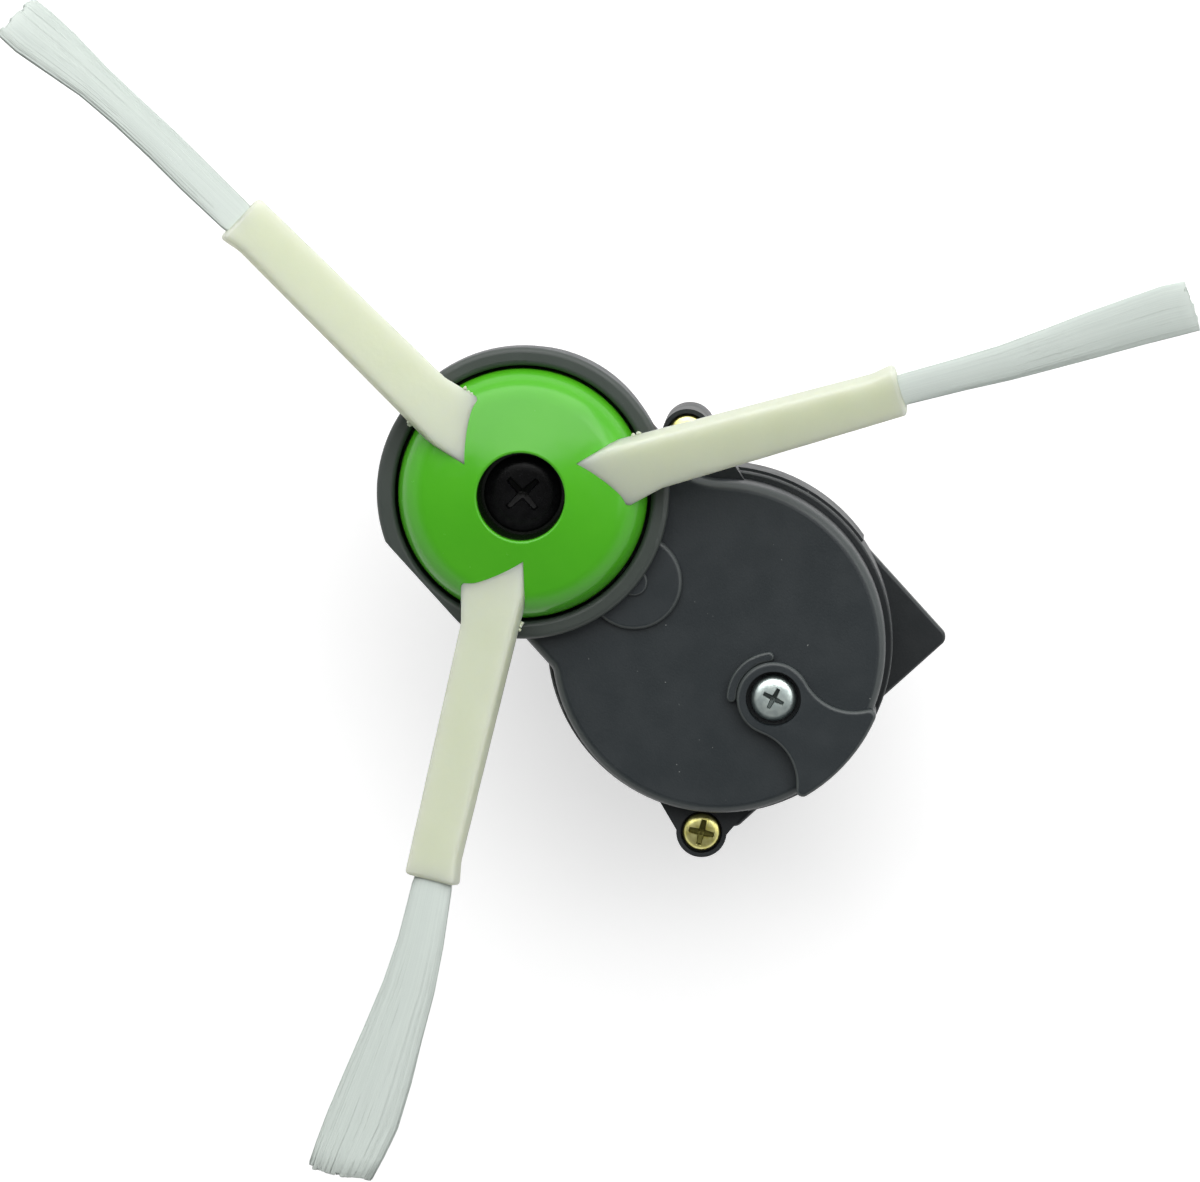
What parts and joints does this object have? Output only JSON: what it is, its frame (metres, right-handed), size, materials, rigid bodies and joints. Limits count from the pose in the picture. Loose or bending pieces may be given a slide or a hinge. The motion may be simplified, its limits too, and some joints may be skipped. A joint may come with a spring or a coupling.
{
  "type": "robot vacuum side brush module",
  "caption": "Robot vacuum side brush module: a domed hub with soft arms and bristle tufts, driven through a spur gear train by a small motor in a two-part screwed housing.",
  "frame": {"origin": "on the mounting screw's axis, at the flange's seating face", "axes": "+Z along the brush axis, from the motor tower towards the brush; +X from the mounting screw towards the brush end of the housing; +Y completes a right-handed set"},
  "size_m": [0.1441, 0.1608, 0.0554],
  "materials": {
    "housing": "satin slate-grey moulded plastic",
    "hub": "glossy bright green moulded plastic",
    "arm": "ivory soft elastomer",
    "bristle": "pale translucent nylon filaments",
    "black_steel": "black oxide steel",
    "bright_steel": "bright zinc-plated steel",
    "gold_steel": "yellow zinc-plated steel",
    "brass": "plain brass",
    "gear_plastic": "natural acetal",
    "magnet": "dark ferrite"
  },
  "bodies": {
    "housing": {"front_housing": "housing", "rear_housing": "housing", "first_gear_axle": "bright_steel", "second_gear_axle": "bright_steel", "motor_can": "bright_steel", "motor_end_cap": "gear_plastic", "motor_magnets": "magnet", "motor_screws": "bright_steel", "motor_cover": "housing", "motor_cover_screws": "bright_steel", "contact_strips": "brass", "output_bushing": "brass", "case_screws": "gold_steel", "mounting_screw": "bright_steel"},
    "brush": {"brush_hub": "hub", "brush_arm_1": "arm", "brush_arm_2": "arm", "brush_arm_3": "arm", "bristle_tuft_1": "bristle", "bristle_tuft_2": "bristle", "bristle_tuft_3": "bristle", "brush_screw": "black_steel", "output_spindle": "bright_steel", "output_gear": "gear_plastic", "spindle_washer": "bright_steel"},
    "second_wheel": {"second_gear": "gear_plastic"},
    "first_wheel": {"first_gear": "gear_plastic"},
    "motor_drive": {"motor_shaft": "bright_steel", "motor_pinion": "brass", "motor_rotor": "bright_steel"}
  },
  "joints": [
    {"name": "brush_spin", "type": "hinge", "parent": "housing", "child": "brush", "pos_m": [0.0416, 0.0061, 0.02], "axis": [0, 0, 1], "continuous": true},
    {"name": "second_gear_spin", "type": "hinge", "parent": "housing", "child": "second_wheel", "pos_m": [0.02342, 0.00329, 0.007], "axis": [0, 0, 1], "continuous": true},
    {"name": "first_gear_spin", "type": "hinge", "parent": "housing", "child": "first_wheel", "pos_m": [0.01183, 0.00639, 0.005], "axis": [0, 0, 1], "continuous": true},
    {"name": "motor_spin", "type": "hinge", "parent": "housing", "child": "motor_drive", "pos_m": [0.01925, -0.00103, 0], "axis": [0, 0, 1], "continuous": true}
  ],
  "couplings": [
    {"joint": "second_gear_spin", "follows": "brush_spin", "ratio": -3.6},
    {"joint": "first_gear_spin", "follows": "brush_spin", "ratio": 10.8},
    {"joint": "motor_spin", "follows": "brush_spin", "ratio": -34.56}
  ]
}
